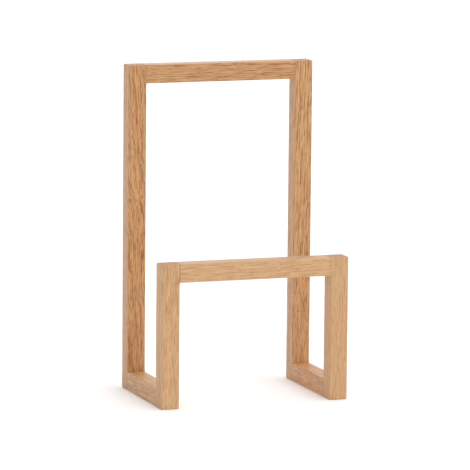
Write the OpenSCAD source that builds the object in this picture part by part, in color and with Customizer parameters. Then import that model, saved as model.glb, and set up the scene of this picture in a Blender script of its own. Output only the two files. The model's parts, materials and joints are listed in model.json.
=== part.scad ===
// Magazine rack in solid oak. A low front frame and a tall rear frame, each an upside-down U of
// two posts and a top rail, are joined at floor level by two foot rails that carry the magazines.
// Every member is cut from one square section, butted flush, and held by pairs of hidden dowels.
// Millimetres. The origin is the centre of the footprint on the floor, with +Z up, -Y towards the
// low front frame and +X to the right as seen from the front.

/* [Overall size] */
// Width across the outer faces of the posts
rack_w = 158; // [120:1:320]
// Depth from the front of the low frame to the back of the tall one
rack_d = 102; // [80:1:200]
// Height of the tall rear frame
rear_h = 266; // [180:1:340]
// Height of the low front frame
front_h = 116.5; // [80:0.5:160]

/* [Oak stock] */
// Side of the square section that every member is cut from
bar = 15; // [14:0.5:24]
// Radius of the sanded edges
edge_r = 0.9; // [0.4:0.1:1.5]

/* [Dowels] */
// Diameter of a dowel
dowel_d = 4; // [3:0.5:5]
// Length of a dowel
dowel_l = 22; // [18:1:24]
// Distance between the two dowels of a joint, centre to centre
dowel_pitch = 6.5; // [6:0.25:7]
// Glue film all round a dowel
glue_gap = 0.05; // [0.02:0.01:0.1]
// Room for glue past each end of a dowel
end_gap = 1; // [0.5:0.5:1.5]

/* [Hidden] */
// A frame or a side is named by its sign along Y or X
FRONT = -1;
REAR = 1;
LEFT = -1;
RIGHT = 1;
SIGNS = [-1, 1];
LEVELS = ["top", "foot"];

// Each joint is [frame, side, level]: a post with its top rail, or a post with its foot rail
JOINTS = [for (frame = SIGNS, side = SIGNS, level = LEVELS) [frame, side, level]];

half = bar / 2;
post_x = rack_w / 2 - half;
post_y = rack_d / 2 - half;
rail_l = rack_w - 2 * bar;
foot_l = rack_d - 2 * bar;

// How deep a dowel sits in the post. The rest of it sits in the rail.
post_bite = 0.6 * bar;
dowel_chamfer = 0.5;
flute_count = 8;
flute_r = 0.2;

// How far a cutting shape passes the face that it cuts
over = 1;

// Smoothness of the round cuts
curve_fn = 48;
flute_fn = 16;

oak_front = [0.83, 0.66, 0.49];
oak_rear = [0.78, 0.59, 0.42];
oak_foot = [0.76, 0.58, 0.43];
beech = [0.87, 0.74, 0.58];

function frame_h(frame) = frame == FRONT ? front_h : rear_h;
function frame_word(frame) = frame == FRONT ? "front" : "rear";
function side_word(side) = side == LEFT ? "left" : "right";
function dowel_word(row) = row == 1 ? "upper" : "lower";

function dowel_name(joint, row) =
    str(frame_word(joint[0]), "_", side_word(joint[1]), "_", joint[2], "_dowel_", dowel_word(row));

// Centre of the face where the two members of a joint meet
function joint_at(joint) =
    joint[2] == "top"
        ? [joint[1] * (post_x - half), joint[0] * post_y, frame_h(joint[0]) - half]
        : [joint[1] * post_x, joint[0] * (post_y - half), half];

// Turn that points +Z out of the post, into the rail or the foot rail
function joint_turn(joint) = joint[2] == "top" ? [0, -90 * joint[1], 0] : [90 * joint[0], 0, 0];

// Turns +Z onto an axis (0 is X, 1 is Y, 2 is Z) and keeps X, Y, Z in cyclic order
module along(axis) {
    if (axis == 2)
        children();
    else
        rotate([90, 0, 90])
            along(axis == 0 ? 2 : 0)
                children();
}

// What sanding takes off one sharp edge. The edge runs up from the origin, and the wood lies on
// its -X, -Y side.
module edge_waste(length) {
    linear_extrude(length)
        translate([-edge_r, -edge_r])
            difference() {
                square(edge_r + over);
                circle(edge_r, $fn = curve_fn);
            }
}

// A block centred on the origin. Each eased edge is [axis, start, length], with its start
// measured from the centre.
module eased_block(size, edges) {
    difference() {
        cube(size, center = true);
        for (edge = edges) {
            axis = edge[0];
            start = edge[1];
            across = start[(axis + 1) % 3];
            beyond = start[(axis + 2) % 3];
            translate(start)
                along(axis)
                    mirror([across < 0 ? 1 : 0, 0, 0])
                        mirror([0, beyond < 0 ? 1 : 0, 0])
                            edge_waste(edge[2]);
        }
    }
}

// Edges that stay exposed on a post whose top rail meets its +X face and whose foot rail meets
// its +Y face. Upright edges stop at the rails, and the end edges run on into them.
function post_edges(h) = [
    [2, [-half, -half, -h / 2], h],
    [2, [half, -half, -h / 2], h - bar],
    [2, [-half, half, -h / 2 + bar], h - bar],
    [2, [half, half, -h / 2 + bar], h - 2 * bar],
    [0, [-half, -half, h / 2], bar],
    [0, [-half, half, h / 2], bar],
    [1, [-half, -half, h / 2], bar],
    [0, [-half, -half, -h / 2], bar],
    [1, [-half, -half, -h / 2], bar],
    [1, [half, -half, -h / 2], bar]
];

// The four long edges of a rail that runs along an axis
function rail_edges(axis, length) = [
    for (a = [-half, half], b = [-half, half])
        [axis, axis == 0 ? [-length / 2, a, b] : [a, -length / 2, b], length]
];

// Holes for the two dowels of a joint, through the face where its members meet
module joint_holes(joint) {
    for (row = SIGNS)
        translate(joint_at(joint) + [0, 0, row * dowel_pitch / 2])
            rotate(joint_turn(joint))
                translate([0, 0, -post_bite - end_gap])
                    cylinder(r = dowel_d / 2 + glue_gap, h = dowel_l + 2 * end_gap, $fn = curve_fn);
}

module post(frame, side) {
    h = frame_h(frame);
    difference() {
        translate([side * post_x, frame * post_y, h / 2])
            mirror([side == RIGHT ? 1 : 0, 0, 0])
                mirror([0, frame == REAR ? 1 : 0, 0])
                    eased_block([bar, bar, h], post_edges(h));
        for (level = LEVELS)
            joint_holes([frame, side, level]);
    }
}

module top_rail(frame) {
    difference() {
        translate([0, frame * post_y, frame_h(frame) - half])
            eased_block([rail_l, bar, bar], rail_edges(0, rail_l));
        for (side = SIGNS)
            joint_holes([frame, side, "top"]);
    }
}

module foot_rail(side) {
    difference() {
        translate([side * post_x, 0, half])
            eased_block([bar, foot_l, bar], rail_edges(1, foot_l));
        for (frame = SIGNS)
            joint_holes([frame, side, "foot"]);
    }
}

// Fluted dowel with chamfered ends, seated in a joint. Row 1 is the upper one.
module dowel(joint, row) {
    r = dowel_d / 2;
    color(beech)
        translate(joint_at(joint) + [0, 0, row * dowel_pitch / 2])
            rotate(joint_turn(joint))
                translate([0, 0, -post_bite])
                    difference() {
                        rotate_extrude($fn = curve_fn)
                            polygon([
                                [0, 0],
                                [r - dowel_chamfer, 0],
                                [r, dowel_chamfer],
                                [r, dowel_l - dowel_chamfer],
                                [r - dowel_chamfer, dowel_l],
                                [0, dowel_l]
                            ]);
                        for (i = [0 : flute_count - 1])
                            rotate([0, 0, 360 * i / flute_count])
                                translate([r, 0, -over])
                                    cylinder(r = flute_r, h = dowel_l + 2 * over, $fn = flute_fn);
                    }
}

module front_left_post() { color(oak_front) post(FRONT, LEFT); }
module front_right_post() { color(oak_front) post(FRONT, RIGHT); }
module front_top_rail() { color(oak_front) top_rail(FRONT); }
module rear_left_post() { color(oak_rear) post(REAR, LEFT); }
module rear_right_post() { color(oak_rear) post(REAR, RIGHT); }
module rear_top_rail() { color(oak_rear) top_rail(REAR); }
module left_foot_rail() { color(oak_foot) foot_rail(LEFT); }
module right_foot_rail() { color(oak_foot) foot_rail(RIGHT); }

front_left_post();
front_right_post();
front_top_rail();
rear_left_post();
rear_right_post();
rear_top_rail();
left_foot_rail();
right_foot_rail();
for (joint = JOINTS, row = SIGNS)
    dowel(joint, row);
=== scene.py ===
from dataclasses import dataclass
import json
import math

import bmesh
import bpy
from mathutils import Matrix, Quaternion, Vector, noise


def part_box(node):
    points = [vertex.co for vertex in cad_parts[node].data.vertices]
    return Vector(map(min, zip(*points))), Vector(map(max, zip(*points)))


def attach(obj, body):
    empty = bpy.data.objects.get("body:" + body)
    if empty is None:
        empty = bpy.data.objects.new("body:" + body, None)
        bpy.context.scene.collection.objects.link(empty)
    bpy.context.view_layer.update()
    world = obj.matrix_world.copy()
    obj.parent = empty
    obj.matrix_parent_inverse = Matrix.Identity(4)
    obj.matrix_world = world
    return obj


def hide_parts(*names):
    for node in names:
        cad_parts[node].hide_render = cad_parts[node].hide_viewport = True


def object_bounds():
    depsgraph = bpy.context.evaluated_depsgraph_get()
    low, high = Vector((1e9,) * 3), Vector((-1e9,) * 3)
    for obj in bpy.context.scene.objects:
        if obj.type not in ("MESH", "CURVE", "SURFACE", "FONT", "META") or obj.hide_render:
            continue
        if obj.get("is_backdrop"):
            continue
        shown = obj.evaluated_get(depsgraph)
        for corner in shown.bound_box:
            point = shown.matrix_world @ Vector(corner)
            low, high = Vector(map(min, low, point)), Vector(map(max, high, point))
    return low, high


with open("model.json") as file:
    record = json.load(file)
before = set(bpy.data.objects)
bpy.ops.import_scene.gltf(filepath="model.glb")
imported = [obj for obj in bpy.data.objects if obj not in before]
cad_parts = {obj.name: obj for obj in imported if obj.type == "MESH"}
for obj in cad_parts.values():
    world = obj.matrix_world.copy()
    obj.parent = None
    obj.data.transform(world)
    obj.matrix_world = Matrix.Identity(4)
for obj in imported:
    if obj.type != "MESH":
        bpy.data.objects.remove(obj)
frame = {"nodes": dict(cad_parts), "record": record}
CAD_LOW, CAD_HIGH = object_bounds()

# An oak magazine rack. Its eight square oak members are made here as finely shaped meshes, and
# the beech dowels inside its joints keep their CAD shape.

MM = 0.001

# ---- Members -----------------------------------------------------------------------------------
# Each oak member is drawn in section axes (u, v) with t along the grain, in the cyclic order of
# X, Y and Z: a post has (u, v, t) = (X, Y, Z), a top rail (Y, Z, X) and a foot rail (Z, X, Y).
# A post's rail_side is the sign, along X, of the side that its top rail meets, and its foot_side
# the sign, along Y, of the side that its foot rail meets. A rail has only its grain's axis.
POSTS = {
    "front_left_post": {"rail_side": 1, "foot_side": 1},
    "front_right_post": {"rail_side": -1, "foot_side": 1},
    "rear_left_post": {"rail_side": 1, "foot_side": -1},
    "rear_right_post": {"rail_side": -1, "foot_side": -1},
}
RAILS = {"front_top_rail": 0, "rear_top_rail": 0, "left_foot_rail": 1, "right_foot_rail": 1}
CORNERS = ((-1, -1), (1, -1), (1, 1), (-1, 1))   # signs of u and v, in the order of a ring

post_low, post_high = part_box("front_left_post")
BAR = post_high.x - post_low.x    # side of the square section of every member

ARRIS = 0.9 * MM          # radius of the sanded edges
CRISP = 0.06 * MM         # radius left on edges that a joint hides
RUN_OUT = 2.0 * MM        # length over which an arris dies into an inside corner
SEAM_BEVEL = 0.1 * MM     # tiny bevel on the end of a rail, which draws the joint line
SHOULDER = 0.1 * MM       # from the edge of a joint to the first ring that the joint hides
CLEARANCE = 1.0 * MM      # from a joint, and from a run-out, to the evenly spaced rings
STATION_GAP = 3.0 * MM    # spacing of the section rings along a member
ARC_STEPS = 4             # faces round an arris
SIDE_SHARES = (0.04, 0.27, 0.5, 0.73, 0.96)   # where a flat side is divided
CAP_SHARE = 0.05          # how far in an end's inner ring lies, as a share of the way
SHARP = math.radians(35)  # an edge that turns by more is shaded as a sharp one
HAND_WAVE = 0.05 * MM     # how far hand sanding leaves a face from flat
HAND_WAVE_LENGTH = 35 * MM
HAND_WAVE_SEED = 1        # unseeded, the wave would differ from run to run


def smooth_step(x):
    x = min(max(x, 0.0), 1.0)
    return x * x * (3 - 2 * x)


def evenly(start, end, gap):
    """Places from start to end, about gap apart, with both ends."""
    count = max(1, round((end - start) / gap))
    return [start + (end - start) * i / count for i in range(count + 1)]


def quarter_arc(start):
    """Angles of the points round one arris, in radians, from a start in degrees."""
    return [math.radians(start + 90 * i / ARC_STEPS) for i in range(ARC_STEPS + 1)]


def section_ring(sides, radii):
    """Points (u, v) round a rectangle with a radius at each corner, counter-clockwise.

    sides is (u low, u high, v low, v high); radii go round from the (low, low) corner."""
    u0, u1, v0, v1 = sides
    corners = [(u0, v0, 180), (u1, v0, 270), (u1, v1, 0), (u0, v1, 90)]
    arcs = []
    for (u, v, start), radius in zip(corners, radii):
        cu = u + radius if u == u0 else u - radius
        cv = v + radius if v == v0 else v - radius
        angles = quarter_arc(start)
        arcs.append([(cu + radius * math.cos(a), cv + radius * math.sin(a)) for a in angles])
    ring = []
    for arc, following in zip(arcs, arcs[1:] + arcs[:1]):
        ring += arc
        (au, av), (bu, bv) = arc[-1], following[0]
        ring += [(au + (bu - au) * s, av + (bv - av) * s) for s in SIDE_SHARES]
    return ring


def rail_stations(t0, t1, sides):
    """Rings of a rail between two joints: four full arrises and a tiny bevel at each end."""
    u0, u1, v0, v1 = sides
    for t in [t0] + evenly(t0 + SEAM_BEVEL, t1 - SEAM_BEVEL, STATION_GAP) + [t1]:
        inset = SEAM_BEVEL if t in (t0, t1) else 0.0
        shrunk = (u0 + inset, u1 - inset, v0 + inset, v1 - inset)
        yield t, section_ring(shrunk, [ARRIS - inset] * 4)


def post_heights(height):
    """Heights of a post's rings, close together round its rounded ends and at its joints."""
    rounded_end = [ARRIS * (1 - math.cos(a)) for a in quarter_arc(0)]
    joint = [BAR - SHOULDER, BAR, BAR + RUN_OUT / 2, BAR + RUN_OUT]
    behind_joint = evenly(2 * ARRIS, BAR - CLEARANCE, STATION_GAP)
    bottom = rounded_end + joint + behind_joint
    top = [height - h for h in bottom]
    free = BAR + RUN_OUT + CLEARANCE
    return sorted(bottom + top + evenly(free, height - free, STATION_GAP))


def round_over(from_end):
    """How far a rounded end draws the section in, at a distance from that end."""
    if from_end >= ARRIS:
        return 0.0
    return ARRIS - math.sqrt(max(ARRIS**2 - (ARRIS - from_end) ** 2, 0.0))


def post_stations(t0, t1, sides, rail_side, foot_side):
    """Rings of a post. Its arrises stop where a rail meets it, and its ends are rounded on the
    sides that no rail covers."""
    u0, u1, v0, v1 = sides
    height = t1 - t0
    for t in post_heights(height):
        inset = round_over(min(t, height - t))
        at_top = t > height / 2
        covered_u = rail_side if at_top else 0
        covered_v = 0 if at_top else foot_side
        shrunk = (
            u0 + inset * (covered_u != -1), u1 - inset * (covered_u != 1),
            v0 + inset * (covered_v != -1), v1 - inset * (covered_v != 1),
        )
        above_foot = smooth_step((t - BAR) / RUN_OUT)
        below_rail = smooth_step((height - BAR - t) / RUN_OUT)
        radii = []
        for side_u, side_v in CORNERS:
            share = 1.0
            if side_u == rail_side:
                share *= below_rail
            if side_v == foot_side:
                share *= above_foot
            radii.append(max(ARRIS * share - inset, CRISP))
        yield t0 + t, section_ring(shrunk, radii)


def to_row(u, v, t, axis):
    """Section coordinates to the row frame for a member whose grain runs along an axis."""
    place = [0.0, 0.0, 0.0]
    place[axis], place[(axis + 1) % 3], place[(axis + 2) % 3] = t, u, v
    return Vector(place)


def section_sides(low, high, axis):
    """A member's box as the sides of its section: u low, u high, v low, v high."""
    a, b = (axis + 1) % 3, (axis + 2) % 3
    return low[a], high[a], low[b], high[b]


def hand_sanded(point, axis):
    """Moves a surface point by what hand sanding leaves. It depends on place alone, so faces
    that are flush at a joint stay flush."""
    wave = noise.noise_vector(point / HAND_WAVE_LENGTH) * HAND_WAVE
    wave[axis] = 0.0
    return point + wave


def add_ring(mesh, edge_wear, t, ring, axis):
    """One ring's vertices. Edge wear is 1 at the crown of an arris and 0 on the flat sides."""
    corner_step = ARC_STEPS + 1 + len(SIDE_SHARES)
    row = []
    for k, (u, v) in enumerate(ring):
        vert = mesh.verts.new(hand_sanded(to_row(u, v, t, axis), axis))
        along_arc = (k % corner_step) / ARC_STEPS
        vert[edge_wear] = math.sin(math.pi * along_arc) if along_arc < 1 else 0.0
        row.append(vert)
    return row


def bridge(mesh, row, following_row):
    """Faces between a ring and the following one, looking outwards."""
    for k in range(len(row)):
        following = (k + 1) % len(row)
        mesh.faces.new((row[k], row[following], following_row[following], following_row[k]))


def close_end(mesh, row, at_start):
    """A flat end, with an inner ring that keeps the rounded edge's shading off the flat."""
    middle = sum((vert.co for vert in row), Vector()) / len(row)
    inner = [mesh.verts.new(vert.co.lerp(middle, CAP_SHARE)) for vert in row]
    if at_start:
        bridge(mesh, inner, row)
        mesh.faces.new(inner[::-1])
    else:
        bridge(mesh, row, inner)
        mesh.faces.new(inner)
    return row + inner


def loft(name, axis, stations):
    """A closed mesh through the section rings, with attributes for its edges and ends."""
    mesh = bmesh.new()
    edge_wear = mesh.verts.layers.float.new("edge_wear")
    end_grain = mesh.verts.layers.float.new("end_grain")
    rows = [add_ring(mesh, edge_wear, t, ring, axis) for t, ring in stations]
    for row, following_row in zip(rows, rows[1:]):
        bridge(mesh, row, following_row)
    for vert in close_end(mesh, rows[0], True) + close_end(mesh, rows[-1], False):
        vert[end_grain] = 1.0
    for face in mesh.faces:
        face.smooth = True
    mesh.normal_update()
    data = bpy.data.meshes.new(name)
    mesh.to_mesh(data)
    mesh.free()
    data.set_sharp_from_angle(angle=SHARP)
    made = bpy.data.objects.new(name, data)
    bpy.context.scene.collection.objects.link(made)
    return made


noise.seed_set(HAND_WAVE_SEED)
members = {}
for node, joints in POSTS.items():
    low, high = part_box(node)
    rings = post_stations(low.z, high.z, section_sides(low, high, 2), **joints)
    members[node] = loft("oak_" + node, 2, rings)
for node, axis in RAILS.items():
    low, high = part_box(node)
    rings = rail_stations(low[axis], high[axis], section_sides(low, high, axis))
    members[node] = loft("oak_" + node, axis, rings)

slots = {part["node"]: part["material_slot"] for part in frame["record"]["subparts"]}
for node, piece in members.items():
    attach(piece, "root")
    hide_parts(node)


# ---- Shader graphs and wood --------------------------------------------------------------------
WOOD_IOR = 1.5
WOOD_RELIEF = 0.04 * MM    # height of fibres and depth of pores, at full strength
GRAIN_TURNS = {0: (0, -90, 0), 1: (90, 0, 0), 2: (0, 0, 0)}   # degrees that bring the grain to Z


class Graph:
    """Short ways to add shader nodes. Every value may be a number, a tuple or a socket."""

    def __init__(self, owner):
        owner.use_nodes = True
        self.tree = owner.node_tree
        self.tree.nodes.clear()

    def node(self, kind, values=(), **settings):
        made = self.tree.nodes.new(kind)
        for key, value in settings.items():
            setattr(made, key, value)
        for socket, value in dict(values).items():
            self.feed(made.inputs[socket], value)
        return made

    def feed(self, socket, value):
        if isinstance(value, bpy.types.NodeSocket):
            self.tree.links.new(value, socket)
        else:
            socket.default_value = value

    def math(self, operation, *values, clamp=False):
        made = self.node("ShaderNodeMath", dict(enumerate(values)), operation=operation)
        made.use_clamp = clamp
        return made.outputs[0]

    def vector(self, operation, *values):
        made = self.node("ShaderNodeVectorMath", dict(enumerate(values)), operation=operation)
        return made.outputs["Value" if operation == "LENGTH" else "Vector"]

    def scaled(self, vector, by):
        return self.vector("MULTIPLY", vector, by)

    def turned(self, vector, degrees, moved=(0, 0, 0)):
        """The vector, turned and then moved."""
        turn = [math.radians(a) for a in degrees]
        values = {"Vector": vector, "Rotation": turn, "Location": moved}
        return self.node("ShaderNodeMapping", values).outputs[0]

    def split(self, vector):
        return self.node("ShaderNodeSeparateXYZ", {0: vector}).outputs

    def join(self, x, y, z):
        return self.node("ShaderNodeCombineXYZ", {0: x, 1: y, 2: z}).outputs[0]

    def place_in_mm(self):
        place = self.node("ShaderNodeTexCoord").outputs["Object"]
        return self.scaled(place, (1 / MM, 1 / MM, 1 / MM))

    def noise(self, vector, detail=2.0, roughness=0.5, output="Fac"):
        values = {"Vector": vector, "Scale": 1.0, "Detail": detail, "Roughness": roughness}
        return self.node("ShaderNodeTexNoise", values).outputs[output]

    def noise_line(self, value):
        """Noise along a line instead of through space."""
        values = {"W": value, "Scale": 1.0, "Detail": 1.0}
        return self.node("ShaderNodeTexNoise", values, noise_dimensions="1D").outputs["Fac"]

    def ease(self, value, low, high, to_low=0.0, to_high=1.0):
        """Maps low..high to to_low..to_high with soft ends."""
        values = {"Value": value, 1: low, 2: high, 3: to_low, 4: to_high}
        return self.node("ShaderNodeMapRange", values, interpolation_type="SMOOTHSTEP").outputs[0]

    def add_weighted(self, total, parts):
        """total plus each value times its weight."""
        for value, weight in parts:
            total = self.math("MULTIPLY_ADD", value, weight, total)
        return total

    def add_centred(self, total, parts):
        """total plus each noise, moved to be about zero, times its weight."""
        for value, weight in parts:
            total = self.math("MULTIPLY_ADD", self.math("SUBTRACT", value, 0.5), weight, total)
        return total

    def ramp(self, value, stops):
        made = self.node("ShaderNodeValToRGB", {"Fac": value})
        elements = made.color_ramp.elements
        while len(elements) < len(stops):
            elements.new(0.5)
        for element, (position, colour) in zip(elements, stops):
            element.position = position
            element.color = colour
        return made.outputs["Color"]

    def mix(self, share, a, b, blend="MIX"):
        made = self.node("ShaderNodeMix", data_type="RGBA", blend_type=blend)
        self.feed(made.inputs["Factor"], share)
        self.feed(made.inputs[6], a)
        self.feed(made.inputs[7], b)
        return made.outputs[2]

    def attribute(self, name):
        return self.node("ShaderNodeAttribute", attribute_name=name).outputs["Fac"]

    def finish_wood(self, colour, rough, height, strength):
        """Ends a wood material in its shader."""
        values = {"Height": height, "Strength": strength, "Distance": WOOD_RELIEF}
        relief = self.node("ShaderNodeBump", values).outputs[0]
        shader = self.node("ShaderNodeBsdfPrincipled", {
            "Base Color": colour, "Roughness": rough, "Normal": relief, "IOR": WOOD_IOR,
        })
        self.node("ShaderNodeOutputMaterial", {"Surface": shader.outputs[0]})


def srgb(red, green, blue):
    """An sRGB colour, 0 to 255, as the linear colour that shaders take."""
    def linear(c):
        c /= 255
        return c / 12.92 if c <= 0.04045 else ((c + 0.055) / 1.055) ** 2.4
    return linear(red), linear(green), linear(blue), 1.0


def tinted(colour, tint):
    """A colour times a tint, which has no alpha."""
    return (*(c * t for c, t in zip(colour, tint)), 1.0)


# ---- Oak ---------------------------------------------------------------------------------------
OAK_DARK = srgb(146, 97, 60)
OAK_MIDDLE = srgb(196, 152, 109)
OAK_LIGHT = srgb(223, 186, 144)
PORE_BROWN = srgb(116, 74, 42)
REDDER = (1.04, 0.965, 0.93, 1.0)    # colour factors of the redder stretches
OAK_ROUGHNESS = {"oak_front": 0.41, "oak_rear": 0.28, "oak_foot": 0.40}

# Noise cells in a millimetre: the two ways across the grain, and then up it
BENDS = (0.03, 0.03, 0.012)
RIPPLES = (0.25, 0.25, 0.06)
BROAD_TONES = (0.05, 0.05, 0.01)
RED_STRETCHES = (0.45, 0.45, 0.03)
LONG_LINES = (0.55, 0.55, 0.03)
STREAKS = (0.95, 0.95, 0.055)
FIBRES = (2.4, 2.4, 0.12)
PORES = (2.9, 2.9, 0.13)
RAYS = (0.9, 0.12, 0.2)              # round the tree, out from its pith, and up it

BEND_REACH = 6.0                     # mm
RIPPLE_REACH = 1.8                   # mm
SEED_STEP = (61.0, 23.0, 407.0)      # mm between the stretches of wood of two seeds
RAY_SEED_STEP = 50.0                 # cells

UNEVEN_CELLS = 0.37                  # noise cells in a year of growth
UNEVEN_REACH = 1.6                   # years that the noise moves a ring by, at most
SPRING_FADES = (0.05, 0.55)          # part of a year in which spring wood gives way
SPRING_RETURNS = (0.92, 1.0)         # part of a year in which the next spring wood comes

PORE_REACH = (0.15, 0.40)            # radius of a pore in summer and in spring wood, in cells
PORE_EDGE = 0.14                     # width of its soft edge, in cells
RAY_LEVELS = (0.62, 0.76)            # noise at which a ray starts, and at which it is whole
LINE_LEVELS = (0.0, 0.06)            # noise off 0.5 at which a line is whole, and has ended
RED_LEVELS = (0.3, 0.7)              # noise at which redness starts, and is full
FIBRE_LEVELS = (0.2, 0.8)            # noise of the smoothest and of the roughest fibres

END_SHADE = 0.35                     # how far end grain goes to the dark tone
WEAR_SHADE = 0.16                    # how far rubbed edges go to the light tone
JOINT_SHADE = 0.5                    # how far a joint line goes to brown
JOINT_FADE = (0.15, 0.55)            # mm from a joint in which its line fades out


@dataclass
class Cut:
    """How a member was cut from its tree, and how that wood looks."""
    seed: int          # picks the stretch of wood
    lean: tuple        # degrees that the grain is off the bar's two section axes
    spin: float        # degrees round the bar: 0 for a quarter-sawn front face, 90 for flat-sawn
    pith: float        # mm from the bar to the middle of the tree
    ring: float        # mm that the tree grew in a year
    wander: float      # how far the grain strays from straight
    contrast: float    # how strongly light and dark grain differ
    tint: tuple        # colour against plain oak, as linear factors
    fine: float = 1.0  # how much narrower than usual the streaks and the long lines are


OAK_CUTS = {
    "front_left_post": Cut(
        seed=1, lean=(0.6, -0.9), spin=20, pith=70, ring=1.9, wander=0.5, contrast=0.62,
        tint=(0.95, 0.97, 0.93),
    ),
    "front_right_post": Cut(
        seed=2, lean=(0.5, 0.8), spin=160, pith=90, ring=1.7, wander=0.5, contrast=0.42,
        tint=(0.96, 0.97, 0.93),
    ),
    "front_top_rail": Cut(
        seed=3, lean=(0.4, 1.0), spin=8, pith=80, ring=1.9, wander=0.7, contrast=0.48,
        tint=(0.98, 1.01, 1.0),
    ),
    "rear_left_post": Cut(
        seed=4, lean=(1.6, 2.8), spin=60, pith=40, ring=1.5, wander=1.1, contrast=1.4,
        tint=(0.81, 0.68, 0.50), fine=1.6,
    ),
    "rear_right_post": Cut(
        seed=5, lean=(-1.3, -3.0), spin=-30, pith=45, ring=2.0, wander=0.5, contrast=1.15,
        tint=(0.85, 0.75, 0.59),
    ),
    "rear_top_rail": Cut(
        seed=6, lean=(0.7, -0.5), spin=-20, pith=50, ring=2.0, wander=0.5, contrast=1.0,
        tint=(0.81, 0.715, 0.575),
    ),
    "left_foot_rail": Cut(
        seed=7, lean=(1.1, 0.9), spin=40, pith=40, ring=2.3, wander=0.8, contrast=0.8,
        tint=(0.94, 0.90, 0.82),
    ),
    "right_foot_rail": Cut(
        seed=8, lean=(-1.0, -1.2), spin=-60, pith=38, ring=2.3, wander=0.8, contrast=0.8,
        tint=(0.99, 0.84, 0.76),
    ),
}


def grain_space(g, node, axis, cut):
    """Millimetres from a member's middle with Z along the bar, and then the same in the tree:
    Z up the grain, X out from the pith."""
    low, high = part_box(node)
    centred = g.vector("SUBTRACT", g.place_in_mm(), tuple((low + high) / 2 / MM))
    bar = g.turned(centred, GRAIN_TURNS[axis])
    return bar, g.turned(bar, (*cut.lean, cut.spin), moved=(cut.pith, 0, 0))


def strayed(g, place, cells, detail, reach):
    """How far the grain has strayed across itself at a place: up to about half of reach."""
    field = g.noise(g.scaled(place, cells), detail, output="Color")
    return g.scaled(g.vector("SUBTRACT", field, (0.5, 0.5, 0.5)), (reach, reach, 0))


def wandering(g, tree, cut):
    """The tree with slow bends along the bar and ripples that make lines wavy, and the same in
    the member's own stretch of wood."""
    stretch = g.vector("ADD", tree, tuple(cut.seed * step for step in SEED_STEP))
    bend = strayed(g, stretch, BENDS, 1, BEND_REACH * cut.wander)
    ripple = strayed(g, stretch, RIPPLES, 2, RIPPLE_REACH * cut.wander)
    both = g.vector("ADD", bend, ripple)
    return g.vector("ADD", tree, both), g.vector("ADD", stretch, both)


def growth_rings(g, tree, ring):
    """Radius from the pith, and how far each place is spring wood, which starts each year."""
    radius = g.vector("LENGTH", g.vector("MULTIPLY", tree, (1, 1, 0)))
    years = g.math("DIVIDE", radius, ring)
    uneven = g.noise_line(g.math("MULTIPLY", years, UNEVEN_CELLS))
    year = g.math("FRACT", g.math("ADD", years, g.math("MULTIPLY", uneven, UNEVEN_REACH)))
    this_spring = g.ease(year, *SPRING_FADES, 1.0, 0.0)
    next_spring = g.ease(year, *SPRING_RETURNS, 0.0, 1.0)
    return radius, g.math("MAXIMUM", this_spring, next_spring)


def pore_holes(g, wood, spring):
    """Long thin holes along the grain, crowded into the spring wood."""
    cells = {"Vector": g.scaled(wood, PORES), "Scale": 1.0}
    distance = g.node("ShaderNodeTexVoronoi", cells).outputs["Distance"]
    reach = g.ease(spring, 0.0, 1.0, *PORE_REACH)
    return g.math("DIVIDE", g.math("SUBTRACT", reach, distance), PORE_EDGE, clamp=True)


def ray_flecks(g, tree, radius, cut):
    """Thin ribbons that run out from the pith, seen as pale flecks on a quarter-sawn face."""
    x, y, z = g.split(tree)
    cells_round, cells_out, cells_up = RAYS
    around = g.math("MULTIPLY", g.math("ARCTAN2", y, x), cut.pith * cells_round)
    outward = g.math("MULTIPLY", radius, cells_out)
    upward = g.math("MULTIPLY_ADD", z, cells_up, cut.seed * RAY_SEED_STEP)
    return g.ease(g.noise(g.join(around, outward, upward), 1.5), *RAY_LEVELS)


def narrowed(cells, fine):
    """Cells that are narrower across the grain and as long up it."""
    across, across_too, up = cells
    return across * fine, across_too * fine, up


def long_lines(g, wood, fine):
    """Thin dark lines that run a long way up the grain: 1 on a line, 0 between the lines."""
    field = g.noise(g.scaled(wood, narrowed(LONG_LINES, fine)), 2)
    off_line = g.math("ABSOLUTE", g.math("SUBTRACT", field, 0.5))
    return g.ease(off_line, *LINE_LEVELS, 1.0, 0.0)


def grain_tone(g, cut, wood, fibre, spring, ray):
    """How light the wood is, from 0 for the darkest lines to 1 for the palest fibres."""
    streak = g.noise(g.scaled(wood, narrowed(STREAKS, cut.fine)), 2, 0.55)
    broad = g.noise(g.scaled(wood, BROAD_TONES), 1)
    line = long_lines(g, wood, cut.fine)
    contrast = cut.contrast
    tone = g.add_centred(0.5 + 0.24 * contrast, [
        (streak, 1.1 * contrast), (fibre, 1.2 * contrast), (broad, 0.2 * contrast),
    ])
    tone = g.add_weighted(tone, [(line, -0.42 * contrast), (spring, -0.15 * contrast)])
    return g.math("MULTIPLY_ADD", ray, 0.14, tone, clamp=True)


def oak_colour(g, cut, wood, tone, pore, end, wear):
    """Tone as colour, with redder stretches, brown pores and darker end grain. Edges that hands
    and magazines rub are a little paler."""
    dark, middle, light, brown = [
        tinted(colour, cut.tint) for colour in (OAK_DARK, OAK_MIDDLE, OAK_LIGHT, PORE_BROWN)
    ]
    colour = g.ramp(tone, [(0.0, dark), (0.5, middle), (1.0, light)])
    red_here = g.ease(g.noise(g.scaled(wood, RED_STRETCHES), 1), *RED_LEVELS)
    colour = g.mix(red_here, colour, g.mix(1.0, colour, REDDER, "MULTIPLY"))
    colour = g.mix(g.math("MULTIPLY", pore, 0.2 + 0.3 * cut.contrast), colour, brown)
    colour = g.mix(g.math("MULTIPLY", end, END_SHADE), colour, dark)
    return g.mix(g.math("MULTIPLY", wear, WEAR_SHADE), colour, light)


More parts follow.
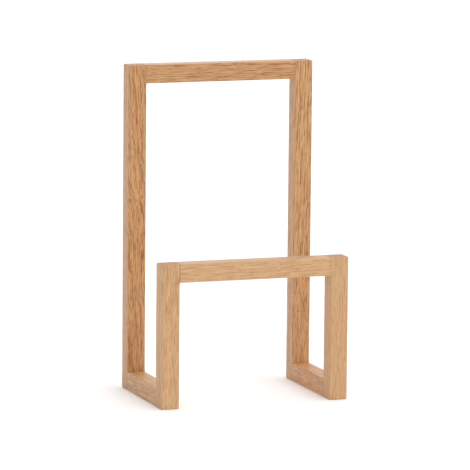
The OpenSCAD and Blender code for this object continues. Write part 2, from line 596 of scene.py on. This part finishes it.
def joint_line(g, colour, node, axis, bar, tint):
    """The thin dark line of glue and shade at both ends of a rail."""
    low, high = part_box(node)
    along = g.math("ABSOLUTE", g.split(bar)[2])
    from_joint = g.math("SUBTRACT", (high[axis] - low[axis]) / 2 / MM, along)
    line = g.ease(from_joint, *JOINT_FADE, JOINT_SHADE, 0.0)
    return g.mix(line, colour, tinted(PORE_BROWN, tint))


def oak_roughness(g, smooth, fibre, pore, ray, end, wear):
    """Rougher in pores and on end grain, smoother on rays and rubbed edges."""
    rough = g.ease(fibre, *FIBRE_LEVELS, smooth, smooth + 0.1)
    return g.add_weighted(rough, [(pore, 0.2), (ray, -0.06), (end, 0.1), (wear, -0.04)])


def oak_relief(g, fibre, pore, spring):
    """Sunken pores, raised fibres, and spring wood a little below the harder summer wood."""
    return g.add_weighted(g.math("MULTIPLY", fibre, 0.35), [(pore, -1.0), (spring, -0.2)])


def oak(node):
    """Oiled oak as a solid texture, so that the grain runs on round every edge of a member."""
    cut, axis = OAK_CUTS[node], RAILS.get(node, 2)
    material = bpy.data.materials.new("oak_" + node)
    g = Graph(material)
    bar, tree = grain_space(g, node, axis, cut)
    tree, wood = wandering(g, tree, cut)
    radius, spring = growth_rings(g, tree, cut.ring)
    pore = pore_holes(g, wood, spring)
    ray = ray_flecks(g, tree, radius, cut)
    fibre = g.noise(g.scaled(wood, FIBRES), 3, 0.6)
    end, wear = g.attribute("end_grain"), g.attribute("edge_wear")

    tone = grain_tone(g, cut, wood, fibre, spring, ray)
    colour = oak_colour(g, cut, wood, tone, pore, end, wear)
    if node in RAILS:
        colour = joint_line(g, colour, node, axis, bar, cut.tint)
    rough = oak_roughness(g, OAK_ROUGHNESS[slots[node]], fibre, pore, ray, end, wear)
    g.finish_wood(colour, rough, oak_relief(g, fibre, pore, spring), strength=0.5)
    return material


for node, piece in members.items():
    piece.data.materials.append(oak(node))


# ---- Beech dowels inside the joints --------------------------------------------------------------
BEECH_DARK = srgb(196, 160, 120)
BEECH_LIGHT = srgb(232, 203, 168)
BEECH_FLECK = srgb(150, 104, 66)
BEECH_FIBRES = (2.5, 2.5, 0.12)      # noise cells in a millimetre, as for oak
BEECH_FLECKS = (3.0, 3.0, 0.7)
BEECH_FLECK_LEVELS = (0.62, 0.72)
BEECH_ROUGHNESS = (0.55, 0.68)


def beech(axis):
    """Bare turned beech: pale, with fine fibres and small dark ray flecks along the dowel."""
    material = bpy.data.materials.new("beech_along_" + "xy"[axis])
    g = Graph(material)
    board = g.turned(g.place_in_mm(), GRAIN_TURNS[axis])
    fibre = g.noise(g.scaled(board, BEECH_FIBRES), 3, 0.6)
    fleck = g.ease(g.noise(g.scaled(board, BEECH_FLECKS), 1), *BEECH_FLECK_LEVELS)
    colour = g.ramp(fibre, [(0.25, BEECH_DARK), (0.75, BEECH_LIGHT)])
    colour = g.mix(g.math("MULTIPLY", fleck, 0.45), colour, BEECH_FLECK)
    rough = g.ease(fibre, *FIBRE_LEVELS, *BEECH_ROUGHNESS)
    g.finish_wood(colour, rough, fibre, strength=0.4)
    return material


beech_along = {axis: beech(axis) for axis in (0, 1)}
for node, dowel in frame["nodes"].items():
    if "dowel" in node:
        dowel.data.materials.clear()
        dowel.data.materials.append(beech_along[1 if "foot" in node else 0])


# ---- Floor, light and camera ---------------------------------------------------------------------
FLOOR_RADIUS = 12.0
FLOOR_GAP = 0.05 * MM    # keeps the floor clear of the underside, which isn't quite flat

SUN_FROM = (0.35, -0.5, 0.8)
SUN_STRENGTH = 0.8
SUN_WIDTH = math.radians(90)

LEFT_STRENGTH = 0.52     # of the room's light, which is 1 on the right
BACK_STRENGTH = 1.3      # of the same, which is 1 in front

VIEW_AZIMUTH = math.radians(-19.6)
VIEW_ELEVATION = math.radians(8.63)
VIEW_ROLL = math.radians(0.52)
VIEW_DISTANCE = 3.258
VIEW_LENS = 308.8        # mm
VIEW_SENSOR = 36.0       # mm
AIM_BELOW_MIDDLE = 3 * MM


def pale_floor():
    bpy.ops.mesh.primitive_circle_add(vertices=128, radius=FLOOR_RADIUS, fill_type="NGON")
    floor = bpy.context.object
    floor.name = "floor"
    floor.location.z = CAD_LOW.z - FLOOR_GAP
    material = bpy.data.materials.new("pale_floor")
    g = Graph(material)
    shader = g.node("ShaderNodeBsdfPrincipled", {
        "Base Color": (0.97, 0.97, 0.97, 1), "Roughness": 0.9, "Specular IOR Level": 0.1,
        "Emission Color": (1, 1, 1, 1), "Emission Strength": 0.08,
    })
    g.node("ShaderNodeOutputMaterial", {"Surface": shader.outputs[0]})
    floor.data.materials.append(material)
    floor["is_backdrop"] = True


def broad_sun():
    """A soft light from far away, which lights the whole floor evenly."""
    data = bpy.data.lights.new("broad_sun", "SUN")
    data.energy = SUN_STRENGTH
    data.angle = SUN_WIDTH
    lamp = bpy.data.objects.new("broad_sun", data)
    lamp.rotation_mode = "QUATERNION"
    lamp.rotation_quaternion = Vector(SUN_FROM).to_track_quat("Z", "Y")
    bpy.context.scene.collection.objects.link(lamp)


def white_room():
    """White all round, but dimmer on the left, so that left sides are a little darker, and
    brighter behind the rack. x and y are those of a direction, from -1 to 1."""
    world = bpy.data.worlds.new("white_room")
    bpy.context.scene.world = world
    g = Graph(world)
    x, y, _ = g.split(g.node("ShaderNodeTexCoord").outputs["Generated"])
    left_to_right = g.ease(x, -0.9, 0.2, LEFT_STRENGTH, 1.0)
    front_to_back = g.ease(y, 0.0, 0.9, 1.0, BACK_STRENGTH)
    background = g.node("ShaderNodeBackground", {
        "Color": (1, 1, 1, 1), "Strength": g.math("MULTIPLY", left_to_right, front_to_back),
    })
    g.node("ShaderNodeOutputWorld", {"Surface": background.outputs[0]})


def long_lens(aim):
    """The camera: far off with a long lens, in front of the rack, to its left and a little up."""
    out = math.cos(VIEW_ELEVATION)
    back = Vector((
        math.sin(VIEW_AZIMUTH) * out, -math.cos(VIEW_AZIMUTH) * out, math.sin(VIEW_ELEVATION),
    ))
    data = bpy.data.cameras.new("camera")
    data.sensor_width = VIEW_SENSOR
    data.lens = VIEW_LENS
    data.clip_start = 0.1
    data.clip_end = 50
    camera = bpy.data.objects.new("camera", data)
    camera.location = aim + back * VIEW_DISTANCE
    camera.rotation_mode = "QUATERNION"
    roll = Quaternion((0, 0, 1), VIEW_ROLL)
    camera.rotation_quaternion = back.to_track_quat("Z", "Y") @ roll
    bpy.context.scene.collection.objects.link(camera)
    bpy.context.scene.camera = camera


pale_floor()
white_room()
broad_sun()
long_lens((CAD_LOW + CAD_HIGH) / 2 - Vector((0, 0, AIM_BELOW_MIDDLE)))
bpy.context.scene.view_settings.view_transform = "Standard"

low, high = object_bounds()
